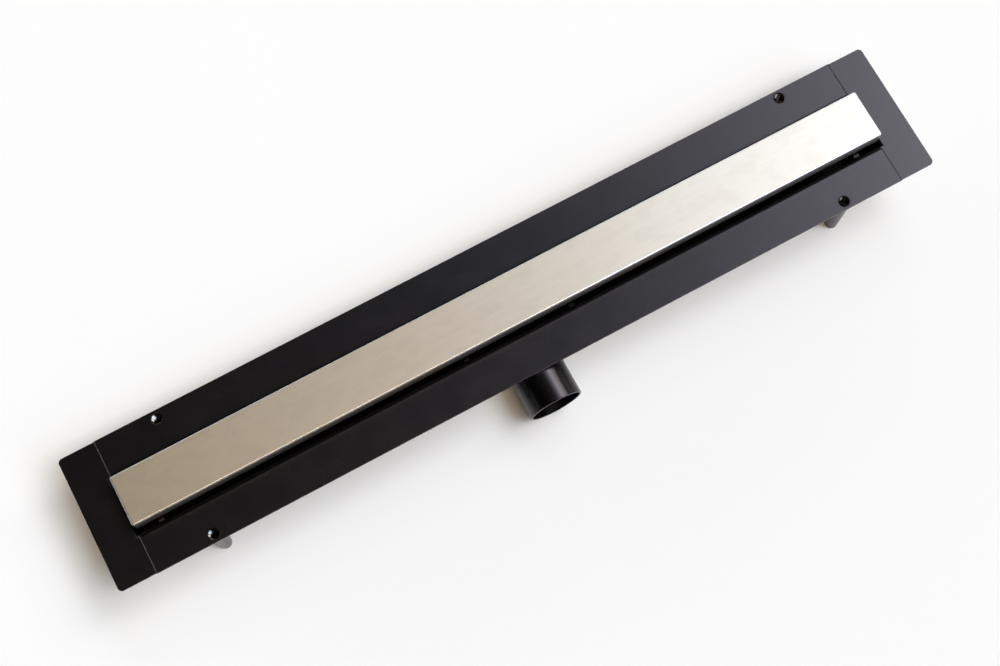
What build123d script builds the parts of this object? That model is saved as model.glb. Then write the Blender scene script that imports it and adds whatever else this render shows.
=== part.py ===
from build123d import *
import os

# Linear shower drain: a folded channel with a wide flange, end plates, a side outlet, tube legs
# and a tile tray that lies plain side up over the channel.
# Millimetres. X runs along the drain, the outlet points to -Y, +Z is up.
# The origin is on the floor, in the middle of the four legs.

# Driving dimensions: overall plan
drain_length = 800.0
flange_width = 127.0
end_flange_length = 34.0  # from the seam to the end of the drain
flange_corner_radius = 4.0

# Folded sheet of the channel and its end plates
sheet = 1.5
bend_radius = 1.5  # inside radius of every fold
channel_width = 52.0  # between the walls
floor_clearance = 2.5  # channel underside above the floor
end_plate_inset = 0.5  # an end plate is this much narrower than the flange, on each side
relief_width = 1.2  # slit beside the bent-down part of an end plate
relief_run = 1.0  # the slit goes this far past the fold
seam_chamfer = 0.4
edge_round = 0.35

# Outlet
outlet_diameter = 50.0
outlet_wall = 1.8
outlet_lift = 1.0  # underside of the pipe above the underside of the channel
outlet_headroom = 3.0  # top of the pipe to the underside of the flange
outlet_stub = 28.5  # how far the pipe stands out past the flange
outlet_mouth_chamfer = 0.4

# Legs
leg_diameter = 12.0
leg_bore = 9.5
leg_edge_margin = 1.5  # outside of the leg to the edge of the flange
leg_end_distance = 90.0  # axis of the leg to the end of the drain
leg_hole_clearance = 0.1
leg_mouth_chamfer = 0.5
leg_foot_chamfer = 0.4

# Cover tray
cover_sheet = 1.0
cover_depth = 15.5
cover_rise = 23.0  # top of the cover above the flange
cover_gap_side = 3.0  # cover to channel wall
cover_gap_end = 2.0  # cover to end plate
cover_bend_radius = 0.3  # inside radius of the folded edges
cover_corner_radius = 1.8

# Flat bars bent to a bow, which carry the cover
bar_width = 5.0
bar_thickness = 3.0
bar_bend_radius = 5.5  # inside radius
bar_drop = 5.0  # top of the welded ends below the top of the flange
bar_side_clearance = 2.5  # bow to the inside of the cover
bar_end_distance = 22.0  # middle of the outer bars to the end of the channel
bar_outlet_distance = 27.0  # middle of the inner bars to the side of the outlet

# Derived sizes and places
fold_radius = bend_radius + sheet  # outside radius of every fold
channel_length = drain_length - 2 * end_flange_length
channel_outer_width = channel_width + 2 * sheet
channel_floor_z = floor_clearance + sheet
channel_end_x = channel_length / 2
outlet_bore = outlet_diameter - 2 * outlet_wall
outlet_z = floor_clearance + outlet_lift + outlet_diameter / 2
outlet_length = flange_width / 2 + outlet_stub - channel_outer_width / 2
flange_under_z = outlet_z + outlet_diameter / 2 + outlet_headroom
flange_z = flange_under_z + sheet
leg_x = drain_length / 2 - leg_end_distance
leg_y = flange_width / 2 - leg_edge_margin - leg_diameter / 2
cover_length = channel_length - 2 * cover_gap_end
cover_width = channel_width - 2 * cover_gap_side
cover_z = flange_z + cover_rise
cover_fold_radius = cover_bend_radius + cover_sheet  # outside radius
bar_fold_radius = bar_bend_radius + bar_thickness  # outside radius
bow_half_width = cover_width / 2 - cover_sheet - bar_side_clearance
bow_foot_z = flange_z - bar_drop
bow_top_z = cover_z - cover_sheet
outer_bar_x = channel_end_x - bar_end_distance
inner_bar_x = outlet_diameter / 2 + bar_outlet_distance

os.makedirs("parts", exist_ok=True)

# Channel body: one sheet folded to a hat section, with the leg holes and the outlet hole
with BuildPart() as channel_body:
    with BuildSketch(Plane.YZ):
        with BuildLine():
            FilletPolyline(
                (-flange_width / 2, flange_z),
                (-channel_width / 2, flange_z),
                (-channel_width / 2, channel_floor_z),
                (channel_width / 2, channel_floor_z),
                (channel_width / 2, flange_z),
                (flange_width / 2, flange_z),
                radius=[fold_radius, bend_radius, bend_radius, fold_radius],
            )
            offset(amount=sheet, side=Side.RIGHT)
        make_face()
    extrude(amount=channel_length / 2, both=True)
    with BuildSketch(Plane.XY.offset(flange_z)):
        with GridLocations(2 * leg_x, 2 * leg_y, 2, 2):
            Circle(leg_diameter / 2 + leg_hole_clearance)
    extrude(amount=-sheet, mode=Mode.SUBTRACT)
    with BuildSketch(Plane.XZ.offset(channel_width / 2 - bend_radius)):
        with Locations((0, outlet_z)):
            Circle(outlet_bore / 2)
    extrude(amount=fold_radius, mode=Mode.SUBTRACT)
    flange_top = channel_body.faces().filter_by(Plane.XY).group_by(Axis.Z)[-1]
    chamfer(flange_top.edges().filter_by(Axis.Y), seam_chamfer)
    flange_top = channel_body.faces().filter_by(Plane.XY).group_by(Axis.Z)[-1]
    long_edges = flange_top.edges().filter_by(Axis.X).group_by(Axis.Y)
    fillet(long_edges[0] + long_edges[-1], edge_round)
channel_body.part.label = "channel_body"
export_step(channel_body.part, "parts/channel_body.step")

# End plate: a flange strip whose middle is bent down to close the channel
with BuildPart() as right_end_plate:
    with BuildSketch(Plane.XY.offset(flange_z)):
        with Locations((channel_end_x, 0)):
            Rectangle(
                end_flange_length,
                flange_width - 2 * end_plate_inset,
                align=(Align.MIN, Align.CENTER),
            )
            Rectangle(
                fold_radius + relief_run,
                channel_outer_width + 2 * relief_width,
                align=(Align.MIN, Align.CENTER),
                mode=Mode.SUBTRACT,
            )
    extrude(amount=-sheet)
    outer_corners = right_end_plate.edges().filter_by(Axis.Z).group_by(Axis.X)[-1]
    fillet(outer_corners, flange_corner_radius)
    with BuildSketch(Plane.XZ):
        with BuildLine():
            FilletPolyline(
                (drain_length / 2 - flange_corner_radius, flange_z),
                (channel_end_x, flange_z),
                (channel_end_x, floor_clearance),
                radius=fold_radius,
            )
            offset(amount=sheet, side=Side.LEFT)
        make_face()
    extrude(amount=channel_outer_width / 2, both=True)
    lower_corners = right_end_plate.edges().filter_by(Axis.X).group_by(Axis.Z)[0]
    fillet(lower_corners, fold_radius)
    plate_top = right_end_plate.faces().filter_by(Plane.XY).group_by(Axis.Z)[-1]
    chamfer(plate_top.edges().filter_by(Axis.Y).group_by(Axis.X)[0], seam_chamfer)
    plate_top = right_end_plate.faces().filter_by(Plane.XY).group_by(Axis.Z)[-1]
    end_edge = plate_top.edges().filter_by(Axis.Y).sort_by(Axis.X)[-1]
    fillet(end_edge, edge_round)
right_end_plate.part.label = "right_end_plate"
export_step(right_end_plate.part, "parts/right_end_plate.step")

with BuildPart() as left_end_plate:
    mirror(right_end_plate.part, about=Plane.YZ)
left_end_plate.part.label = "left_end_plate"
export_step(left_end_plate.part, "parts/left_end_plate.step")

# Outlet pipe: a plain tube, butted to the front wall round the outlet hole
with BuildPart() as outlet_pipe:
    with BuildSketch(Plane.XZ.offset(channel_outer_width / 2)):
        with Locations((0, outlet_z)):
            Circle(outlet_diameter / 2)
            Circle(outlet_bore / 2, mode=Mode.SUBTRACT)
    extrude(amount=outlet_length)
    mouth_edges = outlet_pipe.edges().group_by(Axis.Y)[0]
    chamfer(mouth_edges, outlet_mouth_chamfer)
outlet_pipe.part.label = "outlet_pipe"
export_step(outlet_pipe.part, "parts/outlet_pipe.step")

# Legs: tubes set through the flange, flush with its top
leg_places = {
    "front_left_leg": (-leg_x, -leg_y),
    "front_right_leg": (leg_x, -leg_y),
    "back_left_leg": (-leg_x, leg_y),
    "back_right_leg": (leg_x, leg_y),
}
for name, place in leg_places.items():
    with BuildPart() as leg:
        with BuildSketch(Plane.XY):
            with Locations(place):
                Circle(leg_diameter / 2)
                Circle(leg_bore / 2, mode=Mode.SUBTRACT)
        extrude(amount=flange_z)
        bore_edges = leg.edges().filter_by(GeomType.CIRCLE).group_by(SortBy.RADIUS)[0]
        chamfer(bore_edges.group_by(Axis.Z)[-1], leg_mouth_chamfer)
        outside_edges = leg.edges().filter_by(GeomType.CIRCLE).group_by(SortBy.RADIUS)[-1]
        chamfer(outside_edges.group_by(Axis.Z)[0], leg_foot_chamfer)
    leg.part.label = name
    export_step(leg.part, f"parts/{name}.step")

# Cover supports: flat bars bent to a bow, welded between the channel walls
support_places = {
    "far_left_support": -outer_bar_x,
    "mid_left_support": -inner_bar_x,
    "mid_right_support": inner_bar_x,
    "far_right_support": outer_bar_x,
}
for name, x in support_places.items():
    with BuildPart() as support:
        with BuildSketch(Plane.YZ.offset(x)):
            with BuildLine():
                FilletPolyline(
                    (-channel_width / 2, bow_foot_z),
                    (-bow_half_width, bow_foot_z),
                    (-bow_half_width, bow_top_z),
                    (bow_half_width, bow_top_z),
                    (bow_half_width, bow_foot_z),
                    (channel_width / 2, bow_foot_z),
                    radius=[bar_bend_radius, bar_fold_radius, bar_fold_radius, bar_bend_radius],
                )
                offset(amount=bar_thickness, side=Side.RIGHT)
            make_face()
        extrude(amount=bar_width / 2, both=True)
    support.part.label = name
    export_step(support.part, f"parts/{name}.step")

# Cover: a shallow tray of folded sheet, open downwards
with BuildPart() as cover_tray:
    with BuildSketch(Plane.XY.offset(cover_z)):
        RectangleRounded(cover_length, cover_width, cover_corner_radius)
    extrude(amount=-cover_depth)
    fillet(cover_tray.faces().sort_by(Axis.Z)[-1].edges(), cover_fold_radius)
    offset(amount=-cover_sheet, openings=cover_tray.faces().sort_by(Axis.Z)[0])
cover_tray.part.label = "cover_tray"
export_step(cover_tray.part, "parts/cover_tray.step")
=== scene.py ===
"""Looks of the linear shower drain: its coats, brushed steel, weld beads and threads, in a plain studio.

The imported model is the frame. Metres: X runs along the drain, the outlet points to -Y, +Z is up.
"""

import logging
import math
from collections.abc import Iterator
from contextlib import contextmanager
from dataclasses import dataclass, replace
from enum import Enum

import bmesh
import bpy
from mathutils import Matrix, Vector


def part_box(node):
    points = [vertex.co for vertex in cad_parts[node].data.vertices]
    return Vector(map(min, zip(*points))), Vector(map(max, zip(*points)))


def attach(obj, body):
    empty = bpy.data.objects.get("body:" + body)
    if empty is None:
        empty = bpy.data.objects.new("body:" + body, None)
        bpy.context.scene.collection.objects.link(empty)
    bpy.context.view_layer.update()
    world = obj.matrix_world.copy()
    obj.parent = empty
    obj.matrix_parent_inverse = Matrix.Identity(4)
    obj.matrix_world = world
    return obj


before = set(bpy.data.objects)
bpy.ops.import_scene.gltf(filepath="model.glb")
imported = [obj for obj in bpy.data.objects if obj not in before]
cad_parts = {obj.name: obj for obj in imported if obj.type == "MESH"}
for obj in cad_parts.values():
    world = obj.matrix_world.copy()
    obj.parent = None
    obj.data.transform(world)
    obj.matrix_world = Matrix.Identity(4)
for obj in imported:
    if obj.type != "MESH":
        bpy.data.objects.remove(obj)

LOG = logging.getLogger("shower_drain")
BODY = "root"
MM = 0.001

Colour = tuple[float, float, float]
Span = tuple[float, float]
Socket = bpy.types.NodeSocket


class Slot(Enum):
    """The record's material slots, one for each finish of the welds and threads."""

    CHANNEL = "channel_coat"
    PIPE = "pipe_coat"
    LEG = "leg_coat"
    BAR = "bar_coat"
    THREAD = "thread_steel"


class Axis(Enum):
    """An axis of the frame, by its place in a vector."""

    X = 0
    Y = 1
    Z = 2

    @property
    def turn(self) -> tuple[float, float, float]:
        """The turn that lays a new primitive, which stands along Z, along this axis."""
        quarter = math.pi / 2
        return {Axis.X: (0.0, quarter, 0.0), Axis.Y: (quarter, 0.0, 0.0), Axis.Z: (0.0, 0.0, 0.0)}[self]


class Half(Enum):
    """One of two mirrored halves of the drain, by the sign of a coordinate."""

    @property
    def word(self) -> str:
        """The half as it is written in the names of pieces."""
        return self.name.lower()


class End(Half):
    """The two ends of the drain, by the sign of X."""

    LEFT = -1
    RIGHT = 1


class Side(Half):
    """The outlet's side of the drain and the side behind it, by the sign of Y."""

    FRONT = -1
    BACK = 1


class NodeSheet:
    """A node tree being drawn up, with short ways to add and join its nodes."""

    # A Mix node has the same socket names for numbers, vectors and colours, so its colours go by number.
    MIX_SHARE = 0
    MIX_FIRST = 6
    MIX_SECOND = 7
    MIX_RESULT = 2

    def __init__(self, tree: bpy.types.NodeTree) -> None:
        """Starts on an empty tree.

        Args:
            tree: the node tree of a material or of the world.
        """
        self.tree = tree
        self.tree.nodes.clear()

    def add(self, kind: str, inputs: dict[str | int, object], **options: object) -> bpy.types.Node:
        """Adds one node.

        Args:
            kind: the node's type name.
            inputs: a value or another node's output for each socket, by name or number.
            options: the node's own settings.

        Returns:
            The new node.
        """
        node = self.tree.nodes.new(kind)
        for option, value in options.items():
            setattr(node, option, value)
        for key, value in inputs.items():
            if isinstance(value, Socket):
                self.tree.links.new(value, node.inputs[key])
            else:
                node.inputs[key].default_value = value
        return node

    def place(self) -> Socket:
        """Returns the point on the surface, in the object's own frame."""
        return self.add("ShaderNodeTexCoord", {}).outputs["Object"]

    def noise(self, place: Socket, size: float, detail: float, stretch: Vector | None = None,
              turn: float = 0.0) -> Socket:
        """Adds a cloudy pattern.

        Args:
            place: the point that the pattern is read at.
            size: the width of its clouds, in metres.
            detail: how many finer layers it has.
            stretch: how many times longer the clouds are along each axis.
            turn: the angle of the pattern about Z.

        Returns:
            The pattern's strength, from 0 to 1 and mostly near the middle.
        """
        if stretch is not None:
            turned = self.add("ShaderNodeMapping", {"Vector": place, "Rotation": (0.0, 0.0, turn)})
            scale = tuple(1.0 / along for along in stretch)
            squeezed = self.add("ShaderNodeMapping", {"Vector": turned.outputs[0], "Scale": scale})
            place = squeezed.outputs[0]
        inputs = {"Vector": place, "Scale": 1.0 / size, "Detail": detail}
        return self.add("ShaderNodeTexNoise", inputs).outputs["Fac"]

    def spread(self, value: Socket, low: float, high: float, to_low: float, to_high: float) -> Socket:
        """Maps a pattern's range to another one, held at both ends.

        Args:
            value: the pattern.
            low: the value that becomes to_low.
            high: the value that becomes to_high.
            to_low: the result at the low end.
            to_high: the result at the high end.

        Returns:
            The mapped pattern.
        """
        inputs = {"Value": value, "From Min": low, "From Max": high, "To Min": to_low, "To Max": to_high}
        return self.add("ShaderNodeMapRange", inputs).outputs["Result"]

    def share(self, value: Socket, span: Span) -> Socket:
        """Returns 0 up to the low end of the span, 1 from its high end, and an even change between."""
        return self.spread(value, *span, 0.0, 1.0)

    def vary(self, value: Socket, span: Span, middle: float, reach: float) -> Socket:
        """Returns a value that follows a pattern's span, from reach below the middle to reach above it."""
        return self.spread(value, *span, middle - reach, middle + reach)

    def fade(self, value: Socket, full: float, none: float) -> Socket:
        """Returns 1 up to the value full, 0 from the value none, and a smooth change between."""
        inputs = {"Value": value, "From Min": full, "From Max": none, "To Min": 1.0, "To Max": 0.0}
        return self.add("ShaderNodeMapRange", inputs, interpolation_type="SMOOTHSTEP").outputs["Result"]

    def math(self, operation: str, first: Socket | float, second: Socket | float) -> Socket:
        """Returns the result of one sum, product or the like of two values."""
        return self.add("ShaderNodeMath", {0: first, 1: second}, operation=operation).outputs[0]

    def distance(self, value: Socket, middle: float) -> Socket:
        """Returns how far a value is from a middle one, on either side."""
        apart = self.math("SUBTRACT", value, middle)
        return self.add("ShaderNodeMath", {0: apart}, operation="ABSOLUTE").outputs[0]

    def sides(self, value: Socket, minus: float, plus: float) -> Socket:
        """Returns a pattern that is 0 in the middle, minus at the value -1 and plus at the value 1."""
        below = self.spread(value, -1.0, 0.0, minus, 0.0)
        return self.math("ADD", below, self.spread(value, 0.0, 1.0, 0.0, plus))

    def glow(self, colour: Colour, strength: Socket) -> Socket:
        """Returns light of one colour, as strong as the pattern says."""
        return self.add("ShaderNodeBackground", {"Color": (*colour, 1.0), "Strength": strength}).outputs[0]

    def blend(self, share: Socket, first: Colour | Socket, second: Colour) -> Socket:
        """Mixes two colours.

        Args:
            share: how much of the second colour is in the mix, held between 0 and 1.
            first: a plain colour or a pattern of colours.
            second: the colour mixed in.

        Returns:
            The mixed colour.
        """
        start = first if isinstance(first, Socket) else (*first, 1.0)
        inputs = {self.MIX_SHARE: share, self.MIX_FIRST: start, self.MIX_SECOND: (*second, 1.0)}
        return self.add("ShaderNodeMix", inputs, data_type="RGBA").outputs[self.MIX_RESULT]

    def bump(self, height: Socket, strength: float, depth: float) -> Socket:
        """Returns the surface's normal with a relief of the given strength and depth in metres."""
        inputs = {"Height": height, "Strength": strength, "Distance": depth}
        return self.add("ShaderNodeBump", inputs).outputs["Normal"]


def new_material(name: str) -> tuple[bpy.types.Material, NodeSheet]:
    """Makes an empty node material.

    Args:
        name: the material's name.

    Returns:
        The material and the sheet its nodes are drawn on.
    """
    material = bpy.data.materials.new(name)
    material.use_nodes = True
    return material, NodeSheet(material.node_tree)


def close_surface(sheet: NodeSheet, shader: bpy.types.Node) -> None:
    """Joins a shader to the material's output."""
    sheet.add("ShaderNodeOutputMaterial", {"Surface": shader.outputs[0]})


@dataclass(frozen=True)
class Trough:
    """The inside of the channel, where a coat is dull, told by the distance from the origin along one axis.

    The coat is at its dullest up to the first reach, and as glossy as elsewhere from the second.
    """

    axis: Axis
    reach: Span
    specular: float = 0.06


@dataclass(frozen=True)
class CoatFinish:
    """A black baked coat with a fine orange peel, cloudy handling marks and faint rub lines."""

    name: str
    colour: Colour
    rubbed: Colour
    roughness: float
    roughness_spread: float
    specular: float
    specular_tint: Colour = (0.97, 0.90, 1.0)
    peel_size: float = 0.9 * MM
    peel_detail: float = 2.0
    peel_strength: float = 0.05
    peel_depth: float = 0.05 * MM
    cloud_size: float = 45 * MM
    cloud_detail: float = 5.0
    cloud_span: Span = (0.3, 0.7)
    rub_size: float = 3 * MM
    rub_detail: float = 6.0
    rub_span: Span = (0.62, 0.80)
    rub_stretch: Vector = Vector((14.0, 1.0, 1.0))
    rub_turn: float = math.radians(38)
    rub_roughness: float = 0.004
    trough: Trough | None = None

    def gloss(self, sheet: NodeSheet, place: Socket) -> Socket | float:
        """Works out the coat's gloss, which is low inside the channel, where the coat is thin.

        Args:
            sheet: the coat's nodes.
            place: the point on the surface.

        Returns:
            The gloss, as a plain number where the coat is the same all over.
        """
        if self.trough is None:
            return self.specular
        along = sheet.add("ShaderNodeSeparateXYZ", {0: place}).outputs[self.trough.axis.name]
        inside = sheet.fade(sheet.distance(along, 0.0), *self.trough.reach)
        return sheet.spread(inside, 0.0, 1.0, self.specular, self.trough.specular)

    def build(self) -> bpy.types.Material:
        """Draws up the coat's nodes.

        Returns:
            The material.
        """
        material, sheet = new_material(self.name)
        place = sheet.place()
        clouds = sheet.noise(place, self.cloud_size, self.cloud_detail)
        rubs = sheet.noise(place, self.rub_size, self.rub_detail, self.rub_stretch, self.rub_turn)
        peel = sheet.noise(place, self.peel_size, self.peel_detail)
        cloud_roughness = sheet.vary(clouds, self.cloud_span, self.roughness, self.roughness_spread)
        rub_share = sheet.share(rubs, self.rub_span)
        rub_roughness = sheet.math("MULTIPLY", rub_share, self.rub_roughness)
        shader = sheet.add("ShaderNodeBsdfPrincipled", {
            "Base Color": sheet.blend(rub_share, self.colour, self.rubbed),
            "Roughness": sheet.math("ADD", cloud_roughness, rub_roughness),
            "Specular IOR Level": self.gloss(sheet, place),
            "Specular Tint": (*self.specular_tint, 1.0),
            "Normal": sheet.bump(peel, self.peel_strength, self.peel_depth),
        })
        close_surface(sheet, shader)
        return material


@dataclass(frozen=True)
class BrushedSteelFinish:
    """Stainless sheet brushed along X, with brush lines, faint smudges, folds with a painted highlight and
    plain walls.

    The folds and walls are told by how far they are below the top of the sheet.
    """

    name: str
    colour: Colour
    line_shade: Colour
    roughness: float
    line_roughness: float
    smudge_roughness: float
    anisotropy: float
    top: float
    fold_depth: float = 0.08 * MM
    fold_roughness: float = 0.15
    # A paler colour on the folds: a painted highlight that stands in for the bright rim they reflect.
    fold_colour: Colour = (0.75, 0.76, 0.78)
    wall_start: float = 1.3 * MM
    wall_fade: float = 0.25 * MM
    wall_roughness: float = 0.36
    fine_width: float = 0.35 * MM
    fine_detail: float = 3.0
    fine_stretch: Vector = Vector((220.0, 1.0, 1.0))
    broad_width: float = 2.4 * MM
    broad_detail: float = 2.0
    broad_stretch: Vector = Vector((120.0, 1.0, 1.0))
    line_span: Span = (0.6, 1.4)
    smudge_size: float = 11 * MM
    smudge_detail: float = 6.0
    smudge_stretch: Vector = Vector((1.7, 1.0, 1.0))
    smudge_span: Span = (0.50, 0.70)
    relief_strength: float = 0.11
    relief_depth: float = 0.03 * MM
    across_brush: Vector = Vector((0.0, 0.96, 0.28))

    def build(self) -> bpy.types.Material:
        """Draws up the steel's nodes.

        Returns:
            The material.
        """
        material, sheet = new_material(self.name)
        place = sheet.place()
        fine = sheet.noise(place, self.fine_width, self.fine_detail, self.fine_stretch)
        broad = sheet.noise(place, self.broad_width, self.broad_detail, self.broad_stretch)
        smudges = sheet.noise(place, self.smudge_size, self.smudge_detail, self.smudge_stretch)
        lines = sheet.share(sheet.math("ADD", fine, broad), self.line_span)
        smudge_share = sheet.share(smudges, self.smudge_span)
        line_roughness = sheet.vary(lines, (0.0, 1.0), self.roughness, self.line_roughness)
        smudge_roughness = sheet.math("MULTIPLY", smudge_share, self.smudge_roughness)
        rough = sheet.math("ADD", line_roughness, smudge_roughness)
        bright = sheet.math("SUBTRACT", lines, smudge_share)
        brushed = sheet.blend(bright, self.line_shade, self.colour)
        height = sheet.add("ShaderNodeSeparateXYZ", {0: place}).outputs["Z"]
        depth = sheet.distance(height, self.top)
        flat = sheet.fade(depth, 0.0, self.fold_depth)
        folded = sheet.fade(depth, self.wall_start, self.wall_start + self.wall_fade)
        above_fold = sheet.math("MULTIPLY", flat, sheet.math("SUBTRACT", rough, self.fold_roughness))
        below = sheet.spread(folded, 0.0, 1.0, self.wall_roughness, self.fold_roughness)
        across = sheet.add("ShaderNodeCombineXYZ", dict(enumerate(self.across_brush)))
        shader = sheet.add("ShaderNodeBsdfPrincipled", {
            # The folds, between the flat top and the walls, take the painted highlight colour.
            "Base Color": sheet.blend(sheet.math("SUBTRACT", folded, flat), brushed, self.fold_colour),
            "Metallic": 1.0,
            "Roughness": sheet.math("ADD", above_fold, below),
            "Anisotropic": sheet.math("MULTIPLY", flat, self.anisotropy),
            "Tangent": across.outputs[0],
            "Normal": sheet.bump(fine, self.relief_strength, self.relief_depth),
        })
        close_surface(sheet, shader)
        return material


@dataclass(frozen=True)
class BareSteelFinish:
    """Bare cut steel with small dull patches."""

    name: str
    colour: Colour
    dull: Colour
    roughness: float
    roughness_spread: float
    patch_size: float = 2 * MM
    patch_detail: float = 4.0
    patch_span: Span = (0.35, 0.65)

    def build(self) -> bpy.types.Material:
        """Draws up the steel's nodes.

        Returns:
            The material.
        """
        material, sheet = new_material(self.name)
        clouds = sheet.noise(sheet.place(), self.patch_size, self.patch_detail)
        patches = sheet.share(clouds, self.patch_span)
        shader = sheet.add("ShaderNodeBsdfPrincipled", {
            "Base Color": sheet.blend(patches, self.colour, self.dull),
            "Metallic": 1.0,
            "Roughness": sheet.vary(patches, (0.0, 1.0), self.roughness, self.roughness_spread),
        })
        close_surface(sheet, shader)
        return material


@dataclass(frozen=True)
class FloorFinish:
    """A matt near-white floor with barely uneven paint."""

    name: str
    colour: Colour
    uneven: Colour
    patch_size: float = 0.35
    patch_detail: float = 2.0

    def build(self) -> bpy.types.Material:
        """Draws up the floor's nodes.

        Returns:
            The material.
        """
        material, sheet = new_material(self.name)
        patches = sheet.noise(sheet.place(), self.patch_size, self.patch_detail)
        colour = sheet.blend(patches, self.colour, self.uneven)
        shader = sheet.add("ShaderNodeBsdfDiffuse", {"Color": colour})
        close_surface(sheet, shader)
        return material


CHANNEL_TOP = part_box("channel_body")[1].z
CHANNEL_COAT = CoatFinish(
    name="satin_black_channel_coat",
    colour=(0.0015, 0.0014, 0.0015),
    rubbed=(0.0020, 0.0019, 0.0020),
    roughness=0.27,
    roughness_spread=0.012,
    specular=0.78,
    cloud_size=30 * MM,
    trough=Trough(Axis.Y, (29.4 * MM, 30.4 * MM)),
)
END_PLATE_COAT = replace(
    CHANNEL_COAT,
    name="satin_black_end_plate_coat",
    trough=Trough(Axis.Z, (CHANNEL_TOP - 0.10 * MM, CHANNEL_TOP - 0.01 * MM)),
)
SEAM_COAT = replace(CHANNEL_COAT, name="satin_black_seam_coat", trough=None)
PIPE_COAT = CoatFinish(
    name="semi_gloss_black_pipe_coat",
    colour=(0.0015, 0.0014, 0.0016),
    rubbed=(0.0024, 0.0022, 0.0026),
    roughness=0.24,
    roughness_spread=0.02,
    specular=0.55,
)
LEG_COAT = CoatFinish(
    name="satin_black_leg_coat",
    colour=(0.0022, 0.0021, 0.0022),
    rubbed=(0.0045, 0.0043, 0.0045),
    roughness=0.28,
    roughness_spread=0.03,
    specular=0.7,
    cloud_size=9 * MM,
)
BAR_COAT = CoatFinish(
    name="semi_gloss_black_bar_coat",
    colour=(0.0016, 0.0015, 0.0016),
    rubbed=(0.0030, 0.0028, 0.0030),
    roughness=0.30,
    roughness_spread=0.02,
    specular=0.14,
    cloud_size=9 * MM,
)
MIDDLE_BAR_COAT = replace(BAR_COAT, name="matt_black_bar_coat", specular=0.03)
COVER_STEEL = BrushedSteelFinish(
    name="lengthwise_brushed_steel",
    colour=(0.540, 0.509, 0.465),
    line_shade=(0.498, 0.468, 0.425),
    roughness=0.465,
    line_roughness=0.016,
    smudge_roughness=0.012,
    anisotropy=0.78,
    top=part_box("cover_tray")[1].z,
)
THREAD_STEEL = BareSteelFinish(
    name="bare_cut_thread_steel",
    colour=(0.23, 0.205, 0.18),
    dull=(0.16, 0.145, 0.13),
    roughness=0.14,
    roughness_spread=0.04,
)
PALE_FLOOR = FloorFinish(
    name="matt_white_floor",
    colour=(0.925, 0.925, 0.925),
    uneven=(0.91, 0.91, 0.91),
)


@dataclass(frozen=True)
class Lumps:
    """How uneven a bead is: the width of its lumps, and their full height from hollow to top."""

    grain: float
    depth: float


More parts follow.
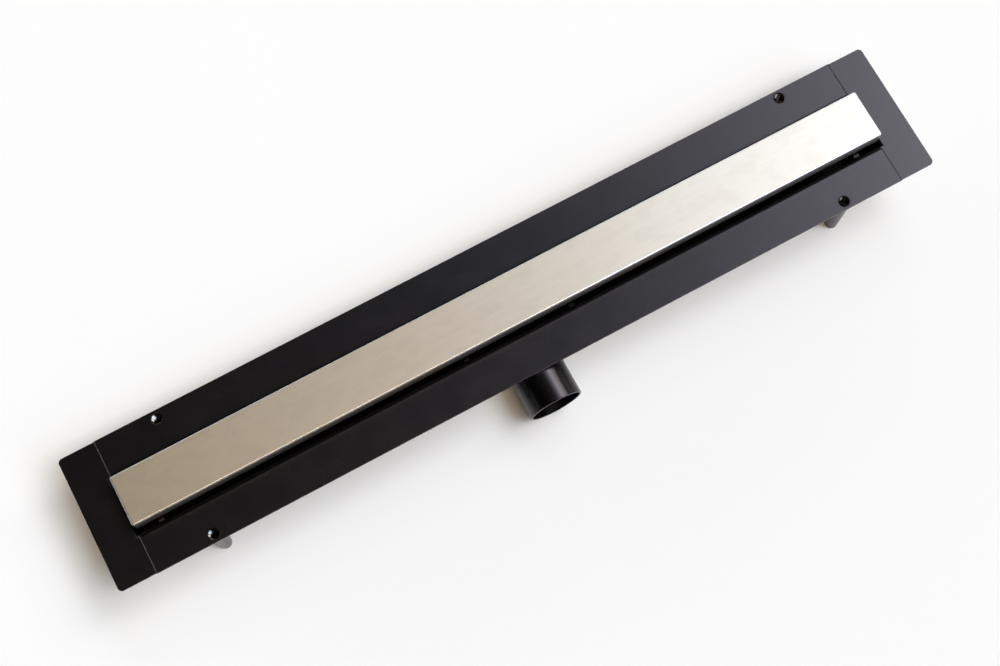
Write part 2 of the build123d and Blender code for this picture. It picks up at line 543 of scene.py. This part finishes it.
class Bench:
    """Steps of modelling by hand, each on one piece at a time."""

    # The ends of a bar: their size beside the bar's, and how squarely a face looks along the bar to be one.
    END_SIZE = 0.45
    END_FACING = 0.9
    # A weld ring: the sides of its bead, the segments to a ripple, and a ripple's size beside the bead's.
    RING_SIDES = 10
    RIPPLE_STEP = 3
    RIPPLE_SIZE = 0.16
    SMOOTH_ANGLE = math.radians(50)

    @staticmethod
    def clear() -> None:
        """Leaves nothing selected, in object mode."""
        if bpy.context.object is not None and bpy.context.object.mode != "OBJECT":
            bpy.ops.object.mode_set(mode="OBJECT")
        bpy.ops.object.select_all(action="DESELECT")

    @staticmethod
    def take(piece: bpy.types.Object) -> None:
        """Selects one piece alone and makes it the active one.

        Args:
            piece: the piece to work on next.
        """
        Bench.clear()
        piece.select_set(True)
        bpy.context.view_layer.objects.active = piece

    @staticmethod
    @contextmanager
    def edit(piece: bpy.types.Object) -> Iterator[bmesh.types.BMesh]:
        """Opens a piece in edit mode with nothing selected.

        Args:
            piece: the mesh object to work on.

        Yields:
            The mesh being edited, to select its parts by place.
        """
        Bench.take(piece)
        bpy.ops.object.mode_set(mode="EDIT")
        bpy.ops.mesh.select_all(action="DESELECT")
        try:
            yield bmesh.from_edit_mesh(piece.data)
        finally:
            bpy.ops.object.mode_set(mode="OBJECT")

    @staticmethod
    def bar(length: float, radius: float, sides: int, rings: int, axis: Axis) -> bpy.types.Object:
        """Models a round bar at the origin, cut into rings, with its ends drawn in.

        Args:
            length: from end to end.
            radius: of the bar.
            sides: faces round the bar.
            rings: cuts along the bar.
            axis: the way it lies.

        Returns:
            The new piece.
        """
        Bench.clear()
        bpy.ops.mesh.primitive_cylinder_add(vertices=sides, radius=radius, depth=length, rotation=axis.turn)
        piece = bpy.context.object
        bpy.ops.object.transform_apply(location=True, rotation=True, scale=True)
        with Bench.edit(piece) as mesh:
            for edge in mesh.edges:
                first, second = (vert.co[axis.value] for vert in edge.verts)
                edge.select_set(abs(first - second) > length / 2)
            bpy.ops.mesh.subdivide(number_cuts=rings)
            for end in (-1, 1):
                bpy.ops.mesh.select_all(action="DESELECT")
                for face in mesh.faces:
                    face.select_set(face.normal[axis.value] * end > Bench.END_FACING)
                bpy.ops.transform.resize(value=(Bench.END_SIZE, Bench.END_SIZE, Bench.END_SIZE))
        return piece

    @staticmethod
    def copy_to(piece: bpy.types.Object, place: Vector) -> bpy.types.Object:
        """Copies a piece with a mesh of its own.

        Args:
            piece: the pattern, modelled about the origin.
            place: where the copy goes.

        Returns:
            The copy, with its place in its mesh.
        """
        Bench.take(piece)
        bpy.ops.object.duplicate(linked=False)
        copy = bpy.context.object
        bpy.ops.transform.translate(value=place)
        bpy.ops.object.transform_apply(location=True, rotation=True, scale=True)
        return copy

    @staticmethod
    def discard(piece: bpy.types.Object) -> None:
        """Removes a pattern that has been copied to all its places.

        Args:
            piece: the pattern.
        """
        mesh = piece.data
        bpy.data.objects.remove(piece)
        bpy.data.meshes.remove(mesh)

    @staticmethod
    def roughen(piece: bpy.types.Object, lumps: Lumps) -> None:
        """Gives a bead an uneven surface that differs from place to place.

        Args:
            piece: the bead, with its place in its mesh.
            lumps: how uneven it gets.
        """
        texture = bpy.data.textures.new(f"{piece.name}_lumps", type="CLOUDS")
        texture.noise_scale = lumps.grain
        texture.noise_depth = 1
        Bench.take(piece)
        bpy.ops.object.modifier_add(type="DISPLACE")
        displace = piece.modifiers[-1]
        displace.texture = texture
        displace.texture_coords = "GLOBAL"
        displace.mid_level = 0.5
        displace.strength = lumps.depth
        bpy.ops.object.modifier_apply(modifier=displace.name)

    @staticmethod
    def ring(major: float, minor: float, axis: Axis, ripples: int) -> bpy.types.Object:
        """Models a rippled weld ring about the origin.

        Args:
            major: the ring's radius, to the middle of the bead.
            minor: the bead's radius.
            axis: the ring's axis, Y or Z.
            ripples: how many there are round the ring.

        Returns:
            The new piece.
        """
        Bench.clear()
        segments = Bench.RIPPLE_STEP * ripples
        bpy.ops.mesh.primitive_torus_add(
            major_radius=major,
            minor_radius=minor,
            major_segments=segments,
            minor_segments=Bench.RING_SIDES,
            rotation=axis.turn,
        )
        piece = bpy.context.object
        bpy.ops.object.transform_apply(location=True, rotation=True, scale=True)
        step = 2 * math.pi / segments
        across = Axis.Z if axis is Axis.Y else Axis.Y
        with Bench.edit(piece) as mesh:
            for vert in mesh.verts:
                angle = math.atan2(vert.co[across.value], vert.co.x)
                vert.select_set(round(angle / step) % Bench.RIPPLE_STEP == 0)
            bpy.ops.transform.shrink_fatten(value=-Bench.RIPPLE_SIZE * minor)
        return piece

    @staticmethod
    def finish(piece: bpy.types.Object, name: str, material: bpy.types.Material, slot: Slot) -> None:
        """Names a finished piece, dresses it and fixes it to the drain.

        Args:
            piece: the finished mesh object.
            name: what the piece is.
            material: its finish.
            slot: the record's slot that the finish stands for; not used.
        """
        piece.name = name
        piece.data.name = name
        piece.data.materials.clear()
        piece.data.materials.append(material)
        Bench.take(piece)
        bpy.ops.object.shade_smooth_by_angle(angle=Bench.SMOOTH_ANGLE)
        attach(piece, BODY)
        LOG.info("%s: %d faces", name, len(piece.data.polygons))


def dress(node: str, material: bpy.types.Material) -> None:
    """Gives a solid of the frame its finish.

    Args:
        node: the solid's name.
        material: its finish.
    """
    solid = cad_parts[node]
    solid.data.materials.clear()
    solid.data.materials.append(material)
    LOG.info("%s wears %s", node, material.name)


@dataclass
class CoatedChannel:
    """The folded channel and its two end plates, with the seams that join them."""

    seam_radius: float = 0.75 * MM
    seam_sink: float = 0.47 * MM
    seam_sides: int = 8
    seam_rings: int = 90
    seam_lumps: Lumps = Lumps(3.2 * MM, 0.26 * MM)
    slit_bead_radius: float = 0.78 * MM
    slit_bead_sides: int = 10
    slit_bead_rings: int = 12
    slit_bead_lumps: Lumps = Lumps(1.6 * MM, 0.14 * MM)
    slit_run: float = 4.0 * MM
    wall_bead_radius: float = 0.85 * MM
    wall_bead_top: float = 3.5 * MM
    wall_bead_sides: int = 8
    wall_bead_rings: int = 60
    wall_bead_lumps: Lumps = Lumps(2.2 * MM, 0.5 * MM)
    fold_radius: float = 3.0 * MM
    fold_steps: int = 8
    fold_slit: float = 1.2 * MM

    def build(self) -> None:
        """Dresses the sheet pieces and models their seams."""
        plate = END_PLATE_COAT.build()
        seam = SEAM_COAT.build()
        dress("channel_body", CHANNEL_COAT.build())
        dress("left_end_plate", plate)
        dress("right_end_plate", plate)
        self.build_flange_seams(seam)
        self.build_slit_welds(seam)
        self.build_wall_seams(seam)

    def build_flange_seams(self, material: bpy.types.Material) -> None:
        """Lays a thin uneven bead in each of the four grooves across the flange.

        Args:
            material: the seams' coat.
        """
        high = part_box("channel_body")[1]
        plate_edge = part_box("right_end_plate")[1].y
        inner = self.wall_face() + self.fold_slit
        length = plate_edge - inner
        pattern = Bench.bar(length, self.seam_radius, self.seam_sides, self.seam_rings, Axis.Y)
        spot = Vector((high.x, inner + length / 2, high.z - self.seam_sink))
        self.lay_beads("flange_seam", pattern, spot, self.seam_lumps, material)

    def build_slit_welds(self, material: bpy.types.Material) -> None:
        """Fills the slit beside each end of the two folds with a short bead.

        Args:
            material: the seams' coat.
        """
        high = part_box("channel_body")[1]
        length = self.slit_run + self.fold_slit
        pattern = Bench.bar(
            length, self.slit_bead_radius, self.slit_bead_sides, self.slit_bead_rings, Axis.X)
        across = self.wall_face() + self.fold_slit / 2
        spot = Vector((high.x + self.slit_run / 2, across, high.z - self.slit_bead_radius))
        self.lay_beads("slit_weld", pattern, spot, self.slit_bead_lumps, material)

    @staticmethod
    def wall_face() -> float:
        """Returns how far the outer face of a channel wall, where the pipe starts, is from the middle."""
        return -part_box("outlet_pipe")[1].y

    @staticmethod
    def lay_beads(kind: str, pattern: bpy.types.Object, spot: Vector, lumps: Lumps,
                  material: bpy.types.Material) -> None:
        """Copies a bead to four places that mirror each other, and removes the pattern.

        Args:
            kind: what the beads are, for their names.
            pattern: the bead, modelled about the origin.
            spot: the place at the back right.
            lumps: how uneven the beads get.
            material: the beads' coat.
        """
        for end in End:
            for side in Side:
                bead = Bench.copy_to(pattern, Vector((end.value * spot.x, side.value * spot.y, spot.z)))
                Bench.roughen(bead, lumps)
                Bench.finish(bead, f"{kind}_{side.word}_{end.word}", material, Slot.CHANNEL)
        Bench.discard(pattern)

    def build_wall_seams(self, material: bpy.types.Material) -> None:
        """Runs a bead down each end wall's seam, under the floor of the channel and up again.

        Args:
            material: the seams' coat.
        """
        low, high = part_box("channel_body")
        wall = self.wall_face()
        top = high.z - self.wall_bead_top - self.fold_radius
        drop = top - low.z - self.fold_radius
        across = 2 * (wall - self.fold_radius)
        for end in End:
            Bench.clear()
            x = end.value * high.x
            bpy.ops.mesh.primitive_circle_add(
                vertices=self.wall_bead_sides,
                radius=self.wall_bead_radius,
                fill_type="NGON",
                location=(x, -wall, top),
            )
            bead = bpy.context.object
            bpy.ops.object.transform_apply(location=True, rotation=True, scale=True)
            with Bench.edit(bead) as mesh:
                bpy.ops.mesh.select_all(action="SELECT")
                self.run(Vector((0.0, 0.0, -drop)))
                self.turn(Vector((x, -wall + self.fold_radius, low.z + self.fold_radius)))
                self.run(Vector((0.0, across, 0.0)))
                self.turn(Vector((x, wall - self.fold_radius, low.z + self.fold_radius)))
                self.run(Vector((0.0, 0.0, drop)))
                bpy.ops.mesh.select_all(action="SELECT")
                bpy.ops.mesh.normals_make_consistent(inside=False)
                bpy.ops.mesh.select_all(action="DESELECT")
                for edge in mesh.edges:
                    edge.select_set(edge.calc_length() > drop / 2)
                bpy.ops.mesh.subdivide(number_cuts=self.wall_bead_rings)
            Bench.roughen(bead, self.wall_bead_lumps)
            Bench.finish(bead, f"end_wall_seam_{end.word}", material, Slot.CHANNEL)

    @staticmethod
    def run(way: Vector) -> None:
        """Draws the bead's open end straight on by the given way."""
        bpy.ops.mesh.extrude_region_move(TRANSFORM_OT_translate={"value": way})

    def turn(self, center: Vector) -> None:
        """Draws the bead's open end round a quarter turn about a line along X."""
        bpy.ops.mesh.spin(steps=self.fold_steps, angle=math.pi / 2, center=center, axis=(1.0, 0.0, 0.0))


@dataclass
class OutletSpigot:
    """The outlet tube and the weld round its root."""

    bead_radius: float = 1.5 * MM
    bead_stand_off: float = 0.5 * MM
    bead_lumps: Lumps = Lumps(4 * MM, 0.5 * MM)
    ripples: int = 84

    def build(self) -> None:
        """Dresses the tube and models its root weld."""
        material = PIPE_COAT.build()
        dress("outlet_pipe", material)
        low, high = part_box("outlet_pipe")
        radius = (high.x - low.x) / 2
        bead = Bench.ring(radius + self.bead_stand_off, self.bead_radius, Axis.Y, self.ripples)
        place = Vector((0.0, high.y - self.bead_stand_off, (low.z + high.z) / 2))
        root_weld = Bench.copy_to(bead, place)
        Bench.discard(bead)
        Bench.roughen(root_weld, self.bead_lumps)
        Bench.finish(root_weld, "outlet_root_weld", material, Slot.PIPE)


@dataclass
class TubeLegs:
    """The four tube legs, their collar welds under the flange and the threads cut in their mouths."""

    # A circle of three corners and radius 1: its height, the length of a side, and a side's distance from
    # the middle.
    CORNERS = 3
    CORNER_HEIGHT = 1.5
    CORNER_SIDE = math.sqrt(3)
    CORNER_BASE = 0.5

    sheet: float = 1.5 * MM
    bead_radius: float = 0.75 * MM
    bead_stand_off: float = 0.2 * MM
    bead_lumps: Lumps = Lumps(2 * MM, 0.3 * MM)
    ripples: int = 18
    bore_radius: float = 4.75 * MM
    thread_depth: float = 0.62 * MM
    thread_root: float = 0.03 * MM
    thread_pitch: float = 1.0 * MM
    thread_share: float = 0.68
    thread_turns: int = 18
    thread_steps: int = 32
    thread_join: float = 0.001 * MM
    mouth_depth: float = 1.2 * MM

    def build(self) -> None:
        """Dresses the legs and models their welds and threads."""
        material = LEG_COAT.build()
        steel = THREAD_STEEL.build()
        names = [f"{side.word}_{end.word}_leg" for side in Side for end in End]
        low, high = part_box(names[0])
        radius = (high.x - low.x) / 2
        collar = Bench.ring(radius + self.bead_stand_off, self.bead_radius, Axis.Z, self.ripples)
        thread = self.model_thread()
        for name in names:
            dress(name, material)
            low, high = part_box(name)
            axis = (low + high) / 2
            under_flange = high.z - self.sheet - self.bead_stand_off
            weld = Bench.copy_to(collar, Vector((axis.x, axis.y, under_flange)))
            Bench.roughen(weld, self.bead_lumps)
            Bench.finish(weld, f"{name}_collar_weld", material, Slot.LEG)
            start = high.z - self.mouth_depth - (self.thread_turns + 0.5) * self.thread_pitch
            cut = Bench.copy_to(thread, Vector((axis.x, axis.y, start)))
            Bench.finish(cut, f"{name}_thread", steel, Slot.THREAD)
        Bench.discard(collar)
        Bench.discard(thread)

    def model_thread(self) -> bpy.types.Object:
        """Winds a three-cornered thread, tip inwards, up the bore about the origin.

        Returns:
            The new piece.
        """
        Bench.clear()
        tip_inward = (math.pi / 2, -math.pi / 2, 0.0)
        bpy.ops.mesh.primitive_circle_add(
            vertices=self.CORNERS, radius=1.0, fill_type="NOTHING", rotation=tip_inward)
        thread = bpy.context.object
        bpy.ops.object.transform_apply(location=True, rotation=True, scale=True)
        depth = (self.thread_depth + self.thread_root) / self.CORNER_HEIGHT
        height = self.thread_share * self.thread_pitch / self.CORNER_SIDE
        out = self.bore_radius + self.thread_root - self.CORNER_BASE * depth
        with Bench.edit(thread):
            bpy.ops.mesh.select_all(action="SELECT")
            bpy.ops.transform.resize(value=(depth, 1.0, height), center_override=(0.0, 0.0, 0.0))
            bpy.ops.transform.translate(value=(out, 0.0, 0.0))
        bpy.ops.object.modifier_add(type="SCREW")
        screw = thread.modifiers[-1]
        screw.axis = "Z"
        screw.angle = 2 * math.pi
        screw.screw_offset = self.thread_pitch
        screw.iterations = self.thread_turns
        screw.steps = self.thread_steps
        screw.render_steps = self.thread_steps
        bpy.ops.object.modifier_apply(modifier=screw.name)
        with Bench.edit(thread):
            bpy.ops.mesh.select_all(action="SELECT")
            bpy.ops.mesh.remove_doubles(threshold=self.thread_join)
            bpy.ops.mesh.fill_holes(sides=self.CORNERS)
            bpy.ops.mesh.normals_make_consistent(inside=False)
        return thread


@dataclass
class CoverBars:
    """The four bent bars that carry the cover, with a weld across each foot."""

    bead_radius: float = 0.9 * MM
    bead_sides: int = 10
    bead_rings: int = 16
    bead_lumps: Lumps = Lumps(2 * MM, 0.5 * MM)
    thickness: float = 3.0 * MM

    def build(self) -> None:
        """Dresses the bars and models the welds at their feet."""
        coats = {"far": BAR_COAT.build(), "mid": MIDDLE_BAR_COAT.build()}
        low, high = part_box("far_left_support")
        pattern = Bench.bar(high.x - low.x, self.bead_radius, self.bead_sides, self.bead_rings, Axis.X)
        for place, coat in coats.items():
            for end in End:
                self.build_bar(f"{place}_{end.word}_support", coat, pattern)
        Bench.discard(pattern)

    def build_bar(self, name: str, coat: bpy.types.Material, pattern: bpy.types.Object) -> None:
        """Dresses one bar and welds its feet.

        Args:
            name: the bar's node.
            coat: its finish.
            pattern: a foot weld about the origin.
        """
        dress(name, coat)
        low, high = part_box(name)
        middle = (low + high) / 2
        for side in Side:
            foot = Vector((middle.x, side.value * high.y, low.z + self.thickness))
            bead = Bench.copy_to(pattern, foot)
            Bench.roughen(bead, self.bead_lumps)
            Bench.finish(bead, f"{name}_{side.word}_weld", coat, Slot.BAR)


@dataclass
class TileTray:
    """The plain cover over the channel."""

    def build(self) -> None:
        """Dresses the cover."""
        dress("cover_tray", COVER_STEEL.build())


@dataclass(frozen=True)
class SoftPanel:
    """A soft-edged bright patch of the surroundings, placed by how far it leans from straight up.

    A lean is a slope: 0 is overhead, 1 is 45 degrees down towards +X or +Y. The patch has its full strength
    within the first reach of its middle and none beyond the second.
    """

    lean_x: float
    lean_y: float
    reach_x: Span
    reach_y: Span
    strength: float
    colour: Colour

    def build(self, sheet: NodeSheet, lean_x: Socket, lean_y: Socket) -> Socket:
        """Draws up the patch.

        Args:
            sheet: the world's nodes.
            lean_x: the lean towards +X of the direction looked in.
            lean_y: its lean towards +Y.

        Returns:
            The light of the patch.
        """
        share_x = sheet.fade(sheet.distance(lean_x, self.lean_x), *self.reach_x)
        share_y = sheet.fade(sheet.distance(lean_y, self.lean_y), *self.reach_y)
        share = sheet.math("MULTIPLY", share_x, share_y)
        strength = sheet.math("MULTIPLY", share, self.strength)
        return sheet.glow(self.colour, strength)


@dataclass
class Studio:
    """A pale floor in a room with a window, a skylight, a warm lamp and a screen, and the camera."""

    floor_size: float = 40.0
    window: SoftPanel = SoftPanel(
        lean_x=0.57,
        lean_y=-0.45,
        reach_x=(0.30, 0.40),
        reach_y=(0.26, 0.36),
        strength=4.32,
        colour=(0.43, 0.69, 1.0),
    )
    skylight: SoftPanel = SoftPanel(
        lean_x=0.62,
        lean_y=0.0,
        reach_x=(0.24, 0.42),
        reach_y=(1.45, 1.55),
        strength=1.765,
        colour=(0.82, 0.90, 1.0),
    )
    lamp: SoftPanel = SoftPanel(
        lean_x=0.243,
        lean_y=-0.32,
        reach_x=(0.45, 0.55),
        reach_y=(0.11, 0.21),
        strength=6.43,
        colour=(1.0, 0.80, 0.577),
    )
    screen: SoftPanel = SoftPanel(
        lean_x=1.035,
        lean_y=0.13,
        reach_x=(0.455, 0.555),
        reach_y=(0.168, 0.268),
        strength=5.25,
        colour=(1.0, 0.955, 0.93),
    )
    least_height: float = 0.02
    wall_colour: Colour = (1.0, 0.985, 0.84)
    wall_right: float = 0.55
    wall_left: float = 0.03
    wall_back: float = 2.4
    wall_front: float = 0.03
    wall_fade: Span = (0.15, 0.40)
    lens: float = 55.53
    sensor: float = 36.0
    eye: Vector = Vector((-0.17424, -0.31053, 1.35353))
    aim: Vector = Vector((-0.0087, -0.0039, 0.0))

    def build(self) -> None:
        """Lays the floor, lights the room and sets up the camera."""
        self.build_floor()
        self.build_world()
        self.build_camera()
        bpy.context.scene.view_settings.view_transform = "Standard"

    def build_floor(self) -> None:
        """Lays the floor under the legs."""
        Bench.clear()
        bpy.ops.mesh.primitive_plane_add(size=self.floor_size)
        floor = bpy.context.object
        floor.name = "pale_floor"
        floor.data.materials.append(PALE_FLOOR.build())

    def build_world(self) -> None:
        """Makes the room: low walls, palest at the back, and the soft patches that light the drain."""
        world = bpy.data.worlds.new("soft_room")
        world.use_nodes = True
        sheet = NodeSheet(world.node_tree)
        way = sheet.add("ShaderNodeTexCoord", {}).outputs["Generated"]
        x, y, z = sheet.add("ShaderNodeSeparateXYZ", {0: way}).outputs
        height = sheet.math("MAXIMUM", z, self.least_height)
        lean_x = sheet.math("DIVIDE", x, height)
        lean_y = sheet.math("DIVIDE", y, height)
        wall_x = sheet.sides(x, self.wall_left, self.wall_right)
        wall_y = sheet.sides(y, self.wall_front, self.wall_back)
        wall = sheet.math("MULTIPLY", sheet.fade(z, *self.wall_fade), sheet.math("ADD", wall_x, wall_y))
        light = sheet.glow(self.wall_colour, wall)
        for panel in (self.window, self.skylight, self.lamp, self.screen):
            patch = panel.build(sheet, lean_x, lean_y)
            light = sheet.add("ShaderNodeAddShader", {0: light, 1: patch}).outputs[0]
        sheet.add("ShaderNodeOutputWorld", {"Surface": light})
        bpy.context.scene.world = world

    def build_camera(self) -> None:
        """Sets up the camera above the front left of the drain."""
        data = bpy.data.cameras.new("camera")
        data.sensor_fit = "HORIZONTAL"
        data.sensor_width = self.sensor
        data.lens = self.lens
        camera = bpy.data.objects.new("camera", data)
        bpy.context.scene.collection.objects.link(camera)
        camera.location = self.eye
        camera.rotation_euler = (self.aim - self.eye).to_track_quat("-Z", "Y").to_euler()
        bpy.context.scene.camera = camera


def main() -> None:
    """Builds the drain's looks and the studio."""
    logging.basicConfig(level=logging.INFO, format="%(name)s: %(message)s")
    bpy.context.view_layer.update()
    for assembly in (CoatedChannel(), OutletSpigot(), TubeLegs(), CoverBars(), TileTray(), Studio()):
        assembly.build()
        LOG.info("%s is done", type(assembly).__name__)


if __name__ == "__main__":
    main()
